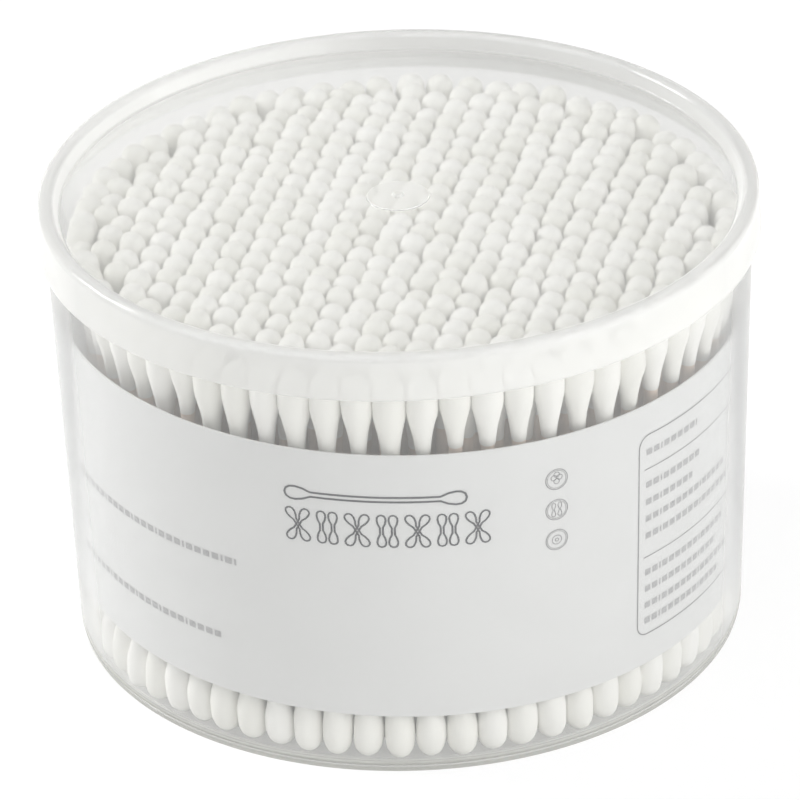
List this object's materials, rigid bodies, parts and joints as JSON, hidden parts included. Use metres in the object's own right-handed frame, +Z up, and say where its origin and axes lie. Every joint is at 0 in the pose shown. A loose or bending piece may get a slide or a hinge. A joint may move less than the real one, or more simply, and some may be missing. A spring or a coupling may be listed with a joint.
{
  "type": "cotton swab tub",
  "caption": "Round clear plastic tub with a lift-off lid and an inner paper band, packed upright with double-ended cotton swabs.",
  "frame": {"origin": "centre of the tub's foot ring, on the surface that the tub stands on", "axes": "+Z up the tub's axis, -Y towards the viewer of the picture, +X to the viewer's right"},
  "size_m": [0.1248, 0.1248, 0.082],
  "materials": {
    "tub_plastic": "clear, slightly milky moulded plastic, glossy",
    "lid_plastic": "clear, slightly milky moulded plastic, glossy",
    "label_paper": "matt coated paper with thin grey print",
    "cotton_swab": "wound white cotton on a thin stick"
  },
  "bodies": {
    "tub": {"tub": "tub_plastic", "label": "label_paper", "swabs_outer_ring": "cotton_swab", "swabs_row_01": "cotton_swab", "swabs_row_02": "cotton_swab", "swabs_row_03": "cotton_swab", "swabs_row_04": "cotton_swab", "swabs_row_05": "cotton_swab", "swabs_row_06": "cotton_swab", "swabs_row_07": "cotton_swab", "swabs_row_08": "cotton_swab", "swabs_row_09": "cotton_swab", "swabs_row_10": "cotton_swab", "swabs_row_11": "cotton_swab", "swabs_row_12": "cotton_swab", "swabs_row_13": "cotton_swab", "swabs_row_14": "cotton_swab", "swabs_row_15": "cotton_swab", "swabs_row_16": "cotton_swab", "swabs_row_17": "cotton_swab", "swabs_row_18": "cotton_swab", "swabs_row_19": "cotton_swab", "swabs_row_20": "cotton_swab", "swabs_row_21": "cotton_swab", "swabs_row_22": "cotton_swab", "swabs_row_23": "cotton_swab", "swabs_row_24": "cotton_swab", "swabs_row_25": "cotton_swab"},
    "lid": {"lid": "lid_plastic"}
  },
  "joints": [
    {"name": "lid_lift", "type": "slide", "parent": "tub", "child": "lid", "axis": [0, 0, 1], "range_m": [0, 0.04]}
  ]
}
